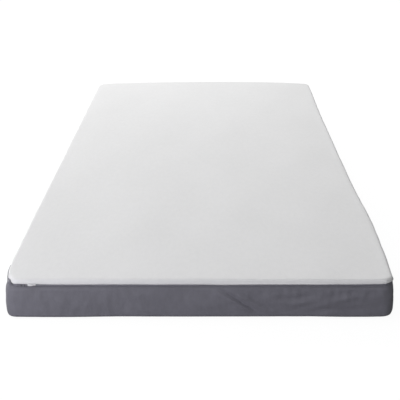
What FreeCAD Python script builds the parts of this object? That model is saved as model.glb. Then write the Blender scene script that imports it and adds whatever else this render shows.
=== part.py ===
import FreeCAD, Part
import math
import os

os.makedirs("parts", exist_ok=True)

Vector = FreeCAD.Vector
UP = Vector(0, 0, 1)

# A pressure relief mattress lying flat on its underside.
# +X runs across the width, +Y runs along the length to the head end, +Z is up.
# The origin is the centre of the underside. Millimetres throughout.
# An "inset" is a distance inwards from the mattress's widest outline, square to its sides.

# Overall outline
mattress_width = 900.0
mattress_length = 2000.0
corner_radius = 40.0

# Heights of the cover's outside: border, then the zip's opening, then the turned-down band
border_height = 77.0
zip_opening = 4.6
band_drop = 13.4
crown_rise = 5.0

# Cover fabrics
border_cloth = 2.0
base_cloth = 2.0
knit_cloth = 2.0

# Side border: a dark band with a rounded foot that leans in towards the zip
border_curve_radius = 305.0
border_widest_height = 24.0
border_foot_radius = 9.0
border_return_inset = 24.0

# Fleece padding behind the side border
padding_gap = 0.2
padding_core_gap = 0.3
padding_drop = 17.0

# Knitted top panel: rolled rim and flat margin
rim_radius = 8.0
rim_return_inset = 20.0

# Zip tapes and coils
tape_gap = 0.1
tape_thickness = 0.8
tape_slit = 1.0
tape_hem = 15.0
coil_recess = 0.3
coil_height = 1.8
coil_slit = 0.8
coil_edge_radius = 0.5
coil_start_from_corner = 6.0
coil_gap = 10.0
stop_length = 2.4

# Zip slider, shown near the left end of its run along the foot end
slider_from_corner = 36.3
slider_length = 9.0
slider_height = 7.4
slider_corner = 1.8
slider_cloth_gap = 0.7
slider_plate = 1.2
slider_tape_gap = 0.3
slider_back_plate = 0.9
post_length = 2.0
post_height = 0.4
lug_spacing = 4.4
lug_height = 0.8
lug_length = 2.0
lug_reach = 2.45
pin_offset = 3.4
pin_stand = 1.5
pin_radius = 0.5

# Pull tab, hung on the slider's pin
barrel_radius = 1.2
pin_clearance = 0.2
barrel_length = 3.0
tab_thickness = 1.0
tab_neck_length = 4.6
tab_start = 3.2
tab_length = 7.0
tab_width = 6.0
tab_corner = 1.4
tab_droop_angle = 12.0

# Foam core
core_side_gap = 0.4
core_floor_gap = 0.3
core_top_gap = 0.4
core_top_radius = 4.0
base_foam_thickness = 24.7
middle_foam_thickness = 30.0
side_bolster_width = 65.0
end_bolster_width = 60.0
vent_width = 12.0
vent_depth = 8.0
vent_count = 11
vent_pitch = 150.0

# Comfort layer zones, with their lengths measured from each end of the core's outline
shoulder_zone_length = 680.5
heel_zone_length = 600.5
slit_width = 4.0
slit_depth = 20.0
length_slit_count = 8
length_slit_pitch = 98.0
shoulder_slit_count = 6
shoulder_slit_pitch = 98.0
seat_slit_count = 9
seat_slit_pitch = 70.0
heel_slit_count = 11
heel_slit_pitch = 50.0


def curve_inset(radius, height):
    """Inset of the side border's leaning curve, of the given radius, at a height."""
    return border_curve_radius - math.sqrt(radius ** 2 - (height - border_widest_height) ** 2)


# Values the parts share
half_width = mattress_width / 2
half_length = mattress_length / 2
corner_x = half_width - corner_radius
corner_y = half_length - corner_radius
zip_centre_height = border_height + zip_opening / 2
band_bottom_height = border_height + zip_opening
rim_top_height = band_bottom_height + band_drop
border_foot_inset = curve_inset(border_curve_radius, border_foot_radius) + border_foot_radius
band_inset = curve_inset(border_curve_radius, border_height)
tape_outer_inset = band_inset + knit_cloth + tape_gap
coil_outer_inset = band_inset + coil_recess
coil_gap_start = coil_start_from_corner - corner_x
coil_gap_end = coil_gap_start + coil_gap
slider_x = slider_from_corner - corner_x
slider_outer_inset = band_inset - slider_cloth_gap - slider_plate
slider_back_inset = tape_outer_inset + tape_thickness + slider_tape_gap
pin_x = slider_x - pin_offset
pin_y = slider_outer_inset - pin_stand - half_length
core_inset = slider_back_inset + slider_back_plate + core_side_gap
core_bottom = base_cloth + core_floor_gap
base_foam_top = core_bottom + base_foam_thickness
middle_foam_top = base_foam_top + middle_foam_thickness
comfort_edge_top = rim_top_height - knit_cloth - core_top_gap
core_half_width = half_width - core_inset
core_half_length = half_length - core_inset
shoulder_zone_end = core_half_length - shoulder_zone_length
seat_zone_end = heel_zone_length - core_half_length


def section(start, steps):
    """Closed face in the XZ plane from (inset, height) points; a step is a point, or an arc's middle and end."""

    def place(point):
        inset, height = point
        return Vector(corner_radius - inset, 0, height)

    edges = []
    here = start
    for step in steps + [start]:
        if isinstance(step[0], tuple):
            middle, end = step
            edges.append(Part.Arc(place(here), place(middle), place(end)).toShape())
        else:
            end = step
            edges.append(Part.makeLine(place(here), place(end)))
        here = end
    return Part.Face(Part.Wire(edges))


def ring(face):
    """Sweep a section round the mattress: four straight sides and four quarter-round corners."""
    corners = [(corner_x, corner_y), (-corner_x, corner_y), (-corner_x, -corner_y), (corner_x, -corner_y)]
    pieces = []
    for index, (x, y) in enumerate(corners):
        centre = Vector(x, y, 0)
        turn = face.copy()
        turn.rotate(Vector(0, 0, 0), UP, 90.0 * index)
        turn.translate(centre)
        pieces.append(turn.revolve(centre, UP, 90))
        side = turn.copy()
        side.rotate(centre, UP, 90)
        next_x, next_y = corners[(index + 1) % len(corners)]
        pieces.append(side.extrude(Vector(next_x - x, next_y - y, 0)))
    return pieces[0].fuse(pieces[1:]).removeSplitter()


def rounded_block(inset, bottom, top):
    """Upright block with the mattress's own rounded outline, moved in by inset."""
    low = Vector(inset - half_width, inset - half_length, bottom)
    block = Part.makeBox(mattress_width - 2 * inset, mattress_length - 2 * inset, top - bottom, low)
    uprights = [edge for edge in block.Edges if abs(edge.tangentAt(0).z) > 0.5]
    return block.makeFillet(corner_radius - inset, uprights)


def box_between(x_low, x_high, y_low, y_high, bottom, top):
    """Box from its limits."""
    return Part.makeBox(x_high - x_low, y_high - y_low, top - bottom, Vector(x_low, y_low, bottom))


def crowned_slab(edge_height, thickness):
    """Slab over the flat middle whose top and underside both rise to the crown."""
    surface = Part.BezierSurface()
    surface.increase(2, 2)
    # A quadratic patch reaches a quarter of its middle pole's height.
    middle_pole = edge_height + 4 * crown_rise
    for row, x in enumerate((-corner_x, 0, corner_x), start=1):
        for column, y in enumerate((-corner_y, 0, corner_y), start=1):
            height = middle_pole if x == 0 and y == 0 else edge_height
            surface.setPole(row, column, Vector(x, y, height))
    return surface.toShape().extrude(Vector(0, 0, -thickness))


def foot_arc(radius):
    """Middle point of the side border's rounded foot."""
    reach = radius * math.sqrt(0.5)
    return (border_foot_inset - reach, border_foot_radius - reach)


def side_border():
    """Dark border fabric with its rounded foot and the return under the base."""
    outer = border_curve_radius
    inner = border_curve_radius - border_cloth
    foot = border_foot_radius
    middle = (border_height + foot) / 2
    start = (curve_inset(outer, border_height), border_height)
    steps = [
        ((curve_inset(outer, middle), middle), (curve_inset(outer, foot), foot)),
        (foot_arc(foot), (border_foot_inset, 0)),
        (border_return_inset, 0),
        (border_return_inset, border_cloth),
        (border_foot_inset, border_cloth),
        (foot_arc(foot - border_cloth), (curve_inset(inner, foot), foot)),
        ((curve_inset(inner, middle), middle), (curve_inset(inner, border_height), border_height)),
    ]
    return ring(section(start, steps))


def border_padding():
    """Fleece between the side border and the foam core, above the rounded foot."""
    radius = border_curve_radius - border_cloth - padding_gap
    bottom = border_foot_radius
    top = border_height - padding_drop
    middle = (top + bottom) / 2
    inner_inset = core_inset - padding_core_gap
    start = (inner_inset, top)
    steps = [
        (curve_inset(radius, top), top),
        ((curve_inset(radius, middle), middle), (curve_inset(radius, bottom), bottom)),
        (inner_inset, bottom),
    ]
    return ring(section(start, steps))


def base_panel():
    """Underside fabric, butted to the border's return."""
    return rounded_block(border_return_inset, 0, base_cloth)


def top_panel():
    """Knitted top: turned-down band, rolled rim, flat margin and crowned middle."""
    rim_centre_inset = band_inset + rim_radius
    rim_centre_height = rim_top_height - rim_radius
    inner_radius = rim_radius - knit_cloth
    outer_reach = rim_radius * math.sqrt(0.5)
    inner_reach = inner_radius * math.sqrt(0.5)
    underside = rim_top_height - knit_cloth
    start = (band_inset, band_bottom_height)
    steps = [
        (band_inset, rim_centre_height),
        (
            (rim_centre_inset - outer_reach, rim_centre_height + outer_reach),
            (rim_centre_inset, rim_top_height),
        ),
        (rim_return_inset, rim_top_height),
        (rim_return_inset, underside),
        (rim_centre_inset, underside),
        (
            (rim_centre_inset - inner_reach, rim_centre_height + inner_reach),
            (band_inset + knit_cloth, rim_centre_height),
        ),
        (band_inset + knit_cloth, band_bottom_height),
    ]
    rim = ring(section(start, steps))
    margin = rounded_block(rim_return_inset, underside, rim_top_height)
    margin = margin.cut(box_between(-corner_x, corner_x, -corner_y, corner_y, underside, rim_top_height))
    return rim.fuse([margin, crowned_slab(rim_top_height, knit_cloth)]).removeSplitter()


def zip_tape(bottom, top):
    """Flat woven tape right round the mattress."""
    inner = tape_outer_inset + tape_thickness
    steps = [(inner, bottom), (inner, top), (tape_outer_inset, top)]
    return ring(section((tape_outer_inset, bottom), steps))


def zip_coil(bottom):
    """One half of the zip's coil, stopping short of itself at the left end of the foot end."""
    top = bottom + coil_height
    soft = coil_edge_radius
    soft_reach = soft * (1 - math.sqrt(0.5))
    start = (tape_outer_inset, bottom)
    steps = [
        (tape_outer_inset, top),
        (coil_outer_inset + soft, top),
        ((coil_outer_inset + soft_reach, top - soft_reach), (coil_outer_inset, top - soft)),
        (coil_outer_inset, bottom + soft),
        ((coil_outer_inset + soft_reach, bottom + soft_reach), (coil_outer_inset + soft, bottom)),
    ]
    gap = box_between(coil_gap_start, coil_gap_end, -half_length, -corner_y, bottom, top)
    return ring(section(start, steps)).cut(gap)


def zip_stops(bottom):
    """Two end stops, one at each end of a coil half."""
    top = bottom + coil_height
    front = band_inset - half_length
    back = tape_outer_inset - half_length
    stops = []
    for x in (coil_gap_start, coil_gap_end - stop_length):
        stops.append(box_between(x, x + stop_length, front, back, bottom, top))
    return Part.makeCompound(stops)


def round_off(plate, radius):
    """Round the corners of a plate that stands in the XZ plane."""
    across = [edge for edge in plate.Edges if abs(edge.tangentAt(0).y) > 0.5]
    return plate.makeFillet(radius, across)


def zip_slider():
    """Slider body: front plate, back plate, the post between the coils, two lugs and their pin."""
    left = slider_x - slider_length / 2
    right = slider_x + slider_length / 2
    bottom = zip_centre_height - slider_height / 2
    top = zip_centre_height + slider_height / 2
    front = slider_outer_inset - half_length
    back = slider_back_inset - half_length
    front_plate = box_between(left, right, front, front + slider_plate, bottom, top)
    front_plate = round_off(front_plate, slider_corner)
    back_plate = box_between(left, right, back, back + slider_back_plate, bottom, top)
    back_plate = round_off(back_plate, slider_corner)
    post = box_between(
        slider_x - post_length / 2,
        slider_x + post_length / 2,
        front,
        back + slider_back_plate,
        zip_centre_height - post_height / 2,
        zip_centre_height + post_height / 2,
    )
    lugs = []
    for side in (-1, 1):
        middle = zip_centre_height + side * lug_spacing / 2
        lugs.append(
            box_between(
                pin_x - lug_length / 2,
                pin_x + lug_length / 2,
                front - lug_reach,
                front,
                middle - lug_height / 2,
                middle + lug_height / 2,
            )
        )
    pin_foot = Vector(pin_x, pin_y, zip_centre_height - lug_spacing / 2)
    pin = Part.makeCylinder(pin_radius, lug_spacing, pin_foot, UP)
    return front_plate.fuse([back_plate, post, pin] + lugs).removeSplitter()


def zip_pull_tab():
    """Pull tab: a barrel on the slider's pin, a neck between the lugs and a drooping blade."""
    foot = Vector(pin_x, pin_y, zip_centre_height - barrel_length / 2)
    barrel = Part.makeCylinder(barrel_radius, barrel_length, foot, UP)
    bore = Part.makeCylinder(pin_radius + pin_clearance, barrel_length, foot, UP)
    neck = box_between(
        pin_x - tab_neck_length,
        pin_x,
        pin_y - tab_thickness / 2,
        pin_y + tab_thickness / 2,
        zip_centre_height - barrel_length / 2,
        zip_centre_height + barrel_length / 2,
    )
    start_x = pin_x - tab_start
    blade = box_between(
        start_x - tab_length,
        start_x,
        pin_y - tab_thickness / 2,
        pin_y + tab_thickness / 2,
        zip_centre_height - tab_width / 2,
        zip_centre_height + tab_width / 2,
    )
    blade = round_off(blade, tab_corner)
    blade.rotate(Vector(start_x, pin_y, zip_centre_height), Vector(0, 1, 0), -tab_droop_angle)
    return barrel.fuse([neck, blade]).cut(bore).removeSplitter()


def base_foam():
    """Firm foam slab under the whole core."""
    return rounded_block(core_inset, core_bottom, base_foam_top)


def side_bolster(side):
    """Firm foam wall along one long side; side is -1 for the left and 1 for the right."""
    block = rounded_block(core_inset, base_foam_top, middle_foam_top)
    outer = side * core_half_width
    inner = side * (core_half_width - side_bolster_width)
    low, high = sorted((outer, inner))
    return block.common(box_between(low, high, -half_length, half_length, base_foam_top, middle_foam_top))


def end_bolster(end):
    """Firm foam wall across one end, between the side walls; end is -1 for the foot and 1 for the head."""
    outer = end * core_half_length
    inner = end * (core_half_length - end_bolster_width)
    low, high = sorted((outer, inner))
    reach = core_half_width - side_bolster_width
    return box_between(-reach, reach, low, high, base_foam_top, middle_foam_top)


def support_foam():
    """Resilient middle slab inside the four walls, with air channels across its top."""
    reach_x = core_half_width - side_bolster_width
    reach_y = core_half_length - end_bolster_width
    slab = box_between(-reach_x, reach_x, -reach_y, reach_y, base_foam_top, middle_foam_top)
    low = middle_foam_top - vent_depth
    channels = []
    for index in range(vent_count):
        y = (index - (vent_count - 1) / 2) * vent_pitch
        near, far = y - vent_width / 2, y + vent_width / 2
        channels.append(box_between(-reach_x, reach_x, near, far, low, middle_foam_top))
    return slab.cut(channels)


def comfort_blank():
    """Whole comfort layer before it is divided: rounded top edge and crowned middle."""
    block = rounded_block(core_inset, middle_foam_top, comfort_edge_top)
    lid = max(block.Faces, key=lambda face: face.CenterOfMass.z)
    block = block.makeFillet(core_top_radius, lid.Edges)
    return block.fuse(crowned_slab(comfort_edge_top, crown_rise + core_top_radius)).removeSplitter()


def slits_along(y_low, y_high):
    """Lengthwise slits in the comfort layer's top."""
    crown = comfort_edge_top + crown_rise
    slits = []
    for index in range(length_slit_count):
        x = (index - (length_slit_count - 1) / 2) * length_slit_pitch
        left, right = x - slit_width / 2, x + slit_width / 2
        slits.append(box_between(left, right, y_low, y_high, crown - slit_depth, crown))
    return slits


def slits_across(y_low, y_high, count, pitch):
    """Crosswise slits in the comfort layer's top, centred in their zone."""
    crown = comfort_edge_top + crown_rise
    slits = []
    for index in range(count):
        y = (y_low + y_high) / 2 + (index - (count - 1) / 2) * pitch
        near, far = y - slit_width / 2, y + slit_width / 2
        slits.append(box_between(-half_width, half_width, near, far, crown - slit_depth, crown))
    return slits


def comfort_zone(y_low, y_high, slits):
    """One zone of the comfort layer with its slits cut."""
    crown = comfort_edge_top + crown_rise
    zone = comfort_blank().common(box_between(-half_width, half_width, y_low, y_high, middle_foam_top, crown))
    return zone.cut(slits)


def comfort_foam_shoulder():
    """Head and shoulder zone, cut into large square cells."""
    low, high = shoulder_zone_end, core_half_length
    across = slits_across(low, high, shoulder_slit_count, shoulder_slit_pitch)
    return comfort_zone(low, high, slits_along(low, high) + across)


def comfort_foam_seat():
    """Seat zone, cut into smaller cells."""
    low, high = seat_zone_end, shoulder_zone_end
    across = slits_across(low, high, seat_slit_count, seat_slit_pitch)
    return comfort_zone(low, high, slits_along(low, high) + across)


def comfort_foam_heel():
    """Heel zone, cut crosswise only, so that it gives way under the heels."""
    low, high = -core_half_length, seat_zone_end
    return comfort_zone(low, high, slits_across(low, high, heel_slit_count, heel_slit_pitch))


lower_coil_bottom = zip_centre_height - coil_slit / 2 - coil_height
upper_coil_bottom = zip_centre_height + coil_slit / 2

parts = {
    "side_border": side_border(),
    "border_padding": border_padding(),
    "base_panel": base_panel(),
    "zip_tape_lower": zip_tape(border_height - tape_hem, zip_centre_height - tape_slit / 2),
    "zip_coil_lower": zip_coil(lower_coil_bottom),
    "zip_stops_lower": zip_stops(lower_coil_bottom),
    "top_panel": top_panel(),
    "zip_tape_upper": zip_tape(zip_centre_height + tape_slit / 2, rim_top_height - rim_radius),
    "zip_coil_upper": zip_coil(upper_coil_bottom),
    "zip_stops_upper": zip_stops(upper_coil_bottom),
    "zip_slider": zip_slider(),
    "zip_pull_tab": zip_pull_tab(),
    "base_foam": base_foam(),
    "side_bolster_left": side_bolster(-1),
    "side_bolster_right": side_bolster(1),
    "head_bolster": end_bolster(1),
    "foot_bolster": end_bolster(-1),
    "support_foam": support_foam(),
    "comfort_foam_shoulder": comfort_foam_shoulder(),
    "comfort_foam_seat": comfort_foam_seat(),
    "comfort_foam_heel": comfort_foam_heel(),
}

for node, shape in parts.items():
    shape.exportStep(os.path.join("parts", node + ".step"))
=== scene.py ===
import math
from contextlib import contextmanager

import bpy
import bmesh
import numpy as np
from mathutils import Matrix, Vector


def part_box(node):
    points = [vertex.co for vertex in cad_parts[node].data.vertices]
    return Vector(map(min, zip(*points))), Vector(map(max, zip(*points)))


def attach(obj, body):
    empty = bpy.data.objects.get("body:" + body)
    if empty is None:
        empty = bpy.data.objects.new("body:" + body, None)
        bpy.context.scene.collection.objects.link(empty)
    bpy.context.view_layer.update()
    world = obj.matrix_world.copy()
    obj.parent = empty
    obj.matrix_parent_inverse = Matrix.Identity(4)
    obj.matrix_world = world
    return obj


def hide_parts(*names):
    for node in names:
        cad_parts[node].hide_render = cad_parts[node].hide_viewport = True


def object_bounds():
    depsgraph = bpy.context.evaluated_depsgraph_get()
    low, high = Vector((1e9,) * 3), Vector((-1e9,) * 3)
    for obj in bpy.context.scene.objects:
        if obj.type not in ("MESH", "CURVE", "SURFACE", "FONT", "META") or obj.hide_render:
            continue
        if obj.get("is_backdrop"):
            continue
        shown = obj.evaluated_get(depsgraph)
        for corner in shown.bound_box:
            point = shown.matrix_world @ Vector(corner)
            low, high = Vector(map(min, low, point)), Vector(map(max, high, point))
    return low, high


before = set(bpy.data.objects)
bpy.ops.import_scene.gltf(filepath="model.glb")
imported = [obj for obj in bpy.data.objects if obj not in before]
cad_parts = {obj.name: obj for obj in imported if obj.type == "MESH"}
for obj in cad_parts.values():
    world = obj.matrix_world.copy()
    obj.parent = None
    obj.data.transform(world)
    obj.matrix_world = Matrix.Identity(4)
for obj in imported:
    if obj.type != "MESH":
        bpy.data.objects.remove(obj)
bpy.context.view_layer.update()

MM = 0.001

# ---------------- sizes, read from the frame


def box_of(node):
    """Lowest and highest corner of a CAD node, as arrays in metres."""
    low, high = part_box(node)
    return np.array(low), np.array(high)


BORDER_HIGH = box_of("side_border")[1]
TOP_LOW, TOP_HIGH = box_of("top_panel")
BASE_LOW, BASE_HIGH = box_of("base_panel")
COIL_HIGH = box_of("zip_coil_lower")[1]
TAPE_HIGH = box_of("zip_tape_lower")[1]

HALF_W = BORDER_HIGH[0]
HALF_L = BORDER_HIGH[1]
CORNER = 40 * MM
BORDER_TOP = BORDER_HIGH[2]
BAND_LOW = TOP_LOW[2]
CROWN = 5 * MM
RIM_TOP = TOP_HIGH[2] - CROWN
BAND_INSET = HALF_W - TOP_HIGH[0]
RIM_RADIUS = 8 * MM
KNIT = 2 * MM
CLOTH = 2 * MM
WIDEST = 24 * MM
BORDER_CURVE = 305 * MM
CORNER_FOLD = 9 * MM
# The border's top edge turns in over this height, by this share of the way to the zip.
EDGE_TURN = 7 * MM
EDGE_SHARE = 0.92
ZIP_SEAM = (COIL_HIGH[2] + box_of("zip_coil_upper")[0][2]) / 2
PULL_PIVOT = box_of("zip_pull_tab")[1][0] - 1.2 * MM
SLIDER_LIFT = 3.8 * MM
FOOT_RADIUS = 9 * MM
RETURN_INSET = 24 * MM
# Past these places along Y and X the path runs round the foot end and along a long side.
FOOT_END = -0.955
SIDE = 0.41

# ---------------- smooth seeded noise


def ripple(a, b, seed, count, shortest, longest):
    """Smooth noise of about unit height over two coordinates in metres, from seeded plane waves."""
    rng = np.random.default_rng(seed)
    angle = rng.uniform(0, 2 * math.pi, count)
    length = np.exp(rng.uniform(math.log(shortest), math.log(longest), count))
    phase = rng.uniform(0, 2 * math.pi, count)
    total = np.zeros(np.shape(a))
    for turn, reach, start in zip(angle, length, phase):
        total += np.sin((np.cos(turn) * a + np.sin(turn) * b) * 2 * math.pi / reach + start)
    return total / math.sqrt(count / 2)


def bump(value, middle, width):
    """A smooth hump of height 1 round middle."""
    return np.exp(-(((value - middle) / width) ** 2))


def step(value, start, end):
    """Smooth change from 0 at start to 1 at end."""
    t = np.clip((value - start) / (end - start), 0, 1)
    return t * t * (3 - 2 * t)


# ---------------- meshes


def linked(name, data):
    """A new object in the scene."""
    obj = bpy.data.objects.new(name, data)
    bpy.context.scene.collection.objects.link(obj)
    return obj


def new_object(name, points, faces):
    """A smooth mesh object from points and faces."""
    mesh = bpy.data.meshes.new(name)
    mesh.from_pydata([tuple(p) for p in np.asarray(points, float)], [], faces)
    mesh.validate()
    mesh.shade_smooth()
    return linked(name, mesh)


@contextmanager
def edited(obj):
    """An object's mesh as a bmesh, written back at the end of the block."""
    work = bmesh.new()
    work.from_mesh(obj.data)
    yield work
    work.to_mesh(obj.data)
    work.free()


def tidy(obj, merge=1e-6):
    """Merges doubled points, drops flat faces and turns every face outwards."""
    with edited(obj) as work:
        bmesh.ops.remove_doubles(work, verts=work.verts, dist=merge)
        bmesh.ops.dissolve_degenerate(work, edges=work.edges, dist=merge)
        bmesh.ops.recalc_face_normals(work, faces=work.faces)
    obj.data.shade_smooth()
    return obj


def mark_sharp(obj, degrees):
    """Keeps edges steeper than an angle crisp."""
    limit = math.radians(degrees)
    with edited(obj) as work:
        for edge in work.edges:
            if len(edge.link_faces) == 2 and edge.calc_face_angle(0) > limit:
                edge.smooth = False


def grid_faces(rows, cols, start=0):
    """Quads over a grid of points that are stored row by row."""
    corners = [start + j * cols + i for j in range(rows - 1) for i in range(cols - 1)]
    return [(a, a + 1, a + cols + 1, a + cols) for a in corners]


def loops_to_faces(rows, count, closed_rows=False):
    """Quads between rows of points that each run right round."""
    faces = []
    for row in range(rows if closed_rows else rows - 1):
        a, b = row * count, ((row + 1) % rows) * count
        faces += [(a + i, a + (i + 1) % count, b + (i + 1) % count, b + i) for i in range(count)]
    return faces


# The path round the mattress: a fixed number of points per corner and per side, so that every
# loop, whatever its inset and corner radius, has its points in step with the others.
CORNER_STEPS = 14
SHORT_STEPS = 200
LONG_STEPS = 252


class Path:
    """Points right round the mattress at a chosen inset, with their outward directions."""

    def __init__(self, short_steps=SHORT_STEPS, long_steps=LONG_STEPS, corner_steps=CORNER_STEPS):
        kinds = []
        for index, steps in enumerate((short_steps, long_steps) * 2):
            start = math.radians(90 * index)
            for k in range(corner_steps + 1):
                kinds.append((index, start + math.radians(90) * k / corner_steps, 0.0))
            kinds += [(index, start + math.radians(90), k / steps) for k in range(1, steps)]
        corner, angle, self.share = np.array(kinds).T
        self.steps = short_steps, long_steps
        self.corner = corner.astype(int)
        self.count = len(kinds)
        self.out = np.column_stack([np.cos(angle), np.sin(angle)])
        self.out[np.abs(self.out) < 1e-12] = 0
        self.xy = self.at(0.0)
        gap = np.hypot(*(np.roll(self.xy, -1, 0) - self.xy).T)
        self.run = np.concatenate([[0], np.cumsum(gap)[:-1]])
        self.length = float(gap.sum())

    def at(self, inset, radius=CORNER):
        """Points at an inset, which may vary round the path; radius is one, or one per corner."""
        inset = np.broadcast_to(np.asarray(inset, float), (self.count,))
        radius = np.broadcast_to(np.asarray(radius, float), (4,))
        signs = np.array([(1, 1), (-1, 1), (-1, -1), (1, -1)])
        centres = signs * (np.array([HALF_W, HALF_L]) - radius[:, None])
        after = (self.corner + 1) % 4
        here = centres[self.corner] + self.out * (radius[self.corner] - inset)[:, None]
        there = centres[after] + self.out * (radius[after] - inset)[:, None]
        return here + (there - here) * self.share[:, None]


PATH = Path()


def ring_points(path, rows):
    """Stacks rows of (plan points or inset, height) into points; a height may vary round the path."""
    points = []
    for plan, height in rows:
        xy = plan if np.ndim(plan) == 2 else path.at(plan)
        z = np.broadcast_to(np.asarray(height, float), (path.count,))
        points.append(np.column_stack([xy, z]))
    return np.concatenate(points)


def ring_object(name, path, rows):
    """A closed ring from rows of points round the mattress."""
    faces = loops_to_faces(len(rows), path.count, closed_rows=True)
    return tidy(new_object(name, ring_points(path, rows), faces))


def sheet_object(name, path, rows, skins):
    """A thin closed sheet: rows of points right round, and a flat middle for each skin's heights."""
    points = ring_points(path, rows)
    faces = loops_to_faces(len(rows), path.count)
    across, along = path.steps
    xs = np.linspace(-(HALF_W - CORNER), HALF_W - CORNER, across + 1)
    ys = np.linspace(-(HALF_L - CORNER), HALF_L - CORNER, along + 1)
    x, y = (part.ravel() for part in np.meshgrid(xs, ys))
    for height in skins:
        faces += grid_faces(along + 1, across + 1, len(points))
        points = np.concatenate([points, np.column_stack([x, y, height(x, y)])])
    return tidy(new_object(name, points, faces), 2e-6)


# ---------------- shape of the soft surfaces

# Plan corner radii, in the path's order: right head, left head, left foot, right foot.
TOP_CORNERS = np.array([25, 42, 34, 30]) * MM
WRAP_CORNERS = np.array([36, 38, 33, 36]) * MM


def near_corner(path, side, reach):
    """1 at the foot's corner on a side (-1 left, 1 right), falling to 0 a reach away."""
    x, y = path.xy.T
    dx, dy = x - side * (HALF_W - 12 * MM), y + HALF_L - 12 * MM
    return np.exp(-(dx * dx + dy * dy) / (reach * reach))


def top_height(x, y):
    """Height of the cover's top: crowned, lower at the head's corners, with faint swells."""
    u = x / HALF_W
    v = y / HALF_L
    crown = CROWN * (1 - u * u) * (1 - ((1 - v) / 2) ** 6)
    head = ((1 + v) / 2) ** 3
    lift = 2.5 * MM * head * (1 - u ** 4)
    droop = head * np.where(u < 0, 1.6 * MM * np.abs(u) ** 2.2, 4.0 * MM * np.abs(u) ** 6)
    edge = np.clip(1 - np.maximum(np.abs(u), np.abs(v)), 0, 1)
    swell = 0.45 * MM * ripple(x, y, 11, 9, 0.16, 0.42) * step(edge, 0.0, 0.08)
    near_foot = np.clip((-v - 0.89) / 0.11, 0, 1) ** 2
    fall = 0.6 + 1.8 * step(u, -0.5, 0.6) + 0.7 * bump(x, 0.19, 0.07) + 1.3 * bump(x, 0.345, 0.045)
    arc = 0.35 * MM * bump(y, -0.945 - 1.2 * (x + 0.33) ** 2, 0.012) * bump(x, -0.345, 0.06)
    return RIM_TOP - 0.7 * MM + crown + lift - droop + swell - near_foot * MM * fall - arc


def band_pull(path):
    """How far the pale band stands in from its plain outline, round the path."""
    x, y = path.xy.T
    right = (x > SIDE) & (np.abs(y) < HALF_L - 1 * MM)
    left = (x < -SIDE) & (np.abs(y) < HALF_L - 1 * MM)
    pull = right * (2.9 * MM * step(y, -0.60, -0.25) - 6.1 * MM * step(y, 0.42, 0.88))
    pull -= right * (4.4 * MM * bump(y, -0.63, 0.16) - 4.8 * MM * bump(y, -0.955, 0.075))
    pull += left * (0.5 * MM * step(y, -0.4, 0.2) + 1.4 * MM + 1.1 * MM * step(-y, 0.88, 0.92))
    cut_x, cut_y = x + HALF_W - 7 * MM, y + HALF_L - 22 * MM
    cut = np.exp(-((cut_x / (22 * MM)) ** 2) - (cut_y / (30 * MM)) ** 2)
    pull += 10.5 * MM * cut
    return pull + 0.3 * MM * ripple(path.run, 0, 21, 9, 0.05, 0.3)


def band_edge(path):
    """Height of the pale band's lower edge round the path."""
    x, y = path.xy.T
    foot = y < FOOT_END
    edge = BAND_LOW + 0.25 * MM * ripple(path.run, 0, 31, 8, 0.09, 0.5)
    edge += foot * MM * (0.6 * bump(x, -0.14, 0.07) - 0.35 * step(x, -0.36, -0.33))
    edge -= foot * 0.9 * MM * (bump(x, 0.07, 0.06) + bump(x, 0.24, 0.10) + 0.7 * bump(x, -0.05, 0.05))
    edge += foot * (1.7 * MM * bump(x, -0.402, 0.012) + 1.3 * MM * bump(x, -0.375, 0.022))
    return edge + 2.2 * MM * near_corner(path, 1, 38 * MM)


def border_push(path):
    """How far the border stands out beyond its plain outline, round the path."""
    x, y = path.xy.T
    side = np.abs(x) > HALF_W - 10 * MM
    near_end = step(np.abs(y), 0.55, 0.88)
    push = -3.6 * MM * side * near_end - 0.3 * MM * side * near_end * (x > 0) * (y < 0)
    front = y < -(HALF_L - 10 * MM)
    push += front * (1.0 * MM + 2.4 * MM * bump(x, -0.32, 0.11))
    push += front * 2.8 * MM * bump(x, 0.350, 0.07)
    push -= front * 0.8 * MM * bump(x, -0.18, 0.06)
    return push + 0.15 * MM * ripple(path.run, 0, 41, 9, 0.10, 0.6)


SMOOTH_REACH = 14 * MM


def smoothed(path, values):
    """Values averaged over a distance along the path."""
    many = 60
    weights = np.exp(-(((np.arange(-many, many + 1) * path.length / path.count) / SMOOTH_REACH) ** 2))
    weights = weights / weights.sum()
    return np.convolve(np.concatenate([values[-many:], values, values[:many]]), weights, "valid")


def zip_line(path, inset):
    """Plan of the zip and of the band's edge at an inset."""
    return path.at(inset + smoothed(path, band_pull(path)), TOP_CORNERS)


def wrap_line(path, inset):
    """Plan of the border at an inset."""
    return path.at(inset - smoothed(path, border_push(path)), WRAP_CORNERS)


# ---------------- the knitted top


def band_belly(path, share):
    """How far the band swells out between its rim (share 0) and its hem (share 1), with puckers."""
    x = path.xy[:, 0]
    foot = path.xy[:, 1] < FOOT_END
    pucker = ripple(path.run, 0, 51, 14, 0.012, 0.06)
    loose = 0.15 + 0.9 * foot * (bump(x, 0.19, 0.07) + bump(x, 0.37, 0.06))
    lean = foot * (bump(x, 0.17, 0.09) + bump(x, 0.37, 0.06) + 0.3 * step(x, 0.0, 0.1))
    wave = 0.5 * MM * pucker * loose * math.sin(math.pi * min(share, 0.8))
    left = foot * step(-x, 0.02, 0.15)
    low_swell = 0.9 * MM * left * math.sin(math.pi * share ** 1.8)
    return (0.5 + 1.3 * lean - 0.3 * left) * MM * math.sin(math.pi * share ** 0.6) + low_swell - wave


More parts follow.
